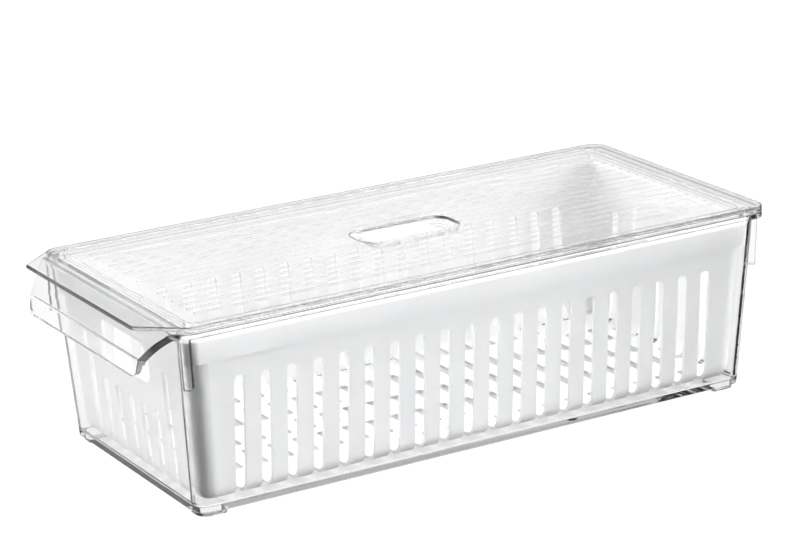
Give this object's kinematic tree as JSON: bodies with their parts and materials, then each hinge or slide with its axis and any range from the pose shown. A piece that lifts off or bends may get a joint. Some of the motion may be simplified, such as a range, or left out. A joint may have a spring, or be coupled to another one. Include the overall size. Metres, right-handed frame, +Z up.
{
  "type": "fridge storage bin",
  "caption": "Clear lidded fridge bin with a moulded front handle, a lift-out slotted draining basket and a sliding air vent in the lid.",
  "frame": {"origin": "centre of the whole object's box in plan, on the plane that the feet stand on", "axes": "+Z up, -Y towards the handle end, Y along the bin's length, X across its width"},
  "size_m": [0.16, 0.3644, 0.1018],
  "materials": {
    "clear_plastic": "clear, polished",
    "white_plastic": "satin white",
    "vent_plastic": "smooth white"
  },
  "bodies": {
    "bin": {"bin_shell": "clear_plastic"},
    "basket": {"basket": "white_plastic"},
    "lid": {"lid": "clear_plastic"},
    "vent": {"vent_slider": "vent_plastic", "vent_keeper": "vent_plastic"}
  },
  "joints": [
    {"name": "basket_lift", "type": "slide", "parent": "bin", "child": "basket", "axis": [0, 0, 1], "range_m": [0, 0.12]},
    {"name": "lid_lift", "type": "slide", "parent": "basket", "child": "lid", "axis": [0, 0, 1], "range_m": [0, 0.06]},
    {"name": "vent_slide", "type": "slide", "parent": "lid", "child": "vent", "axis": [0, 1, 0], "range_m": [0, 0.01]}
  ]
}
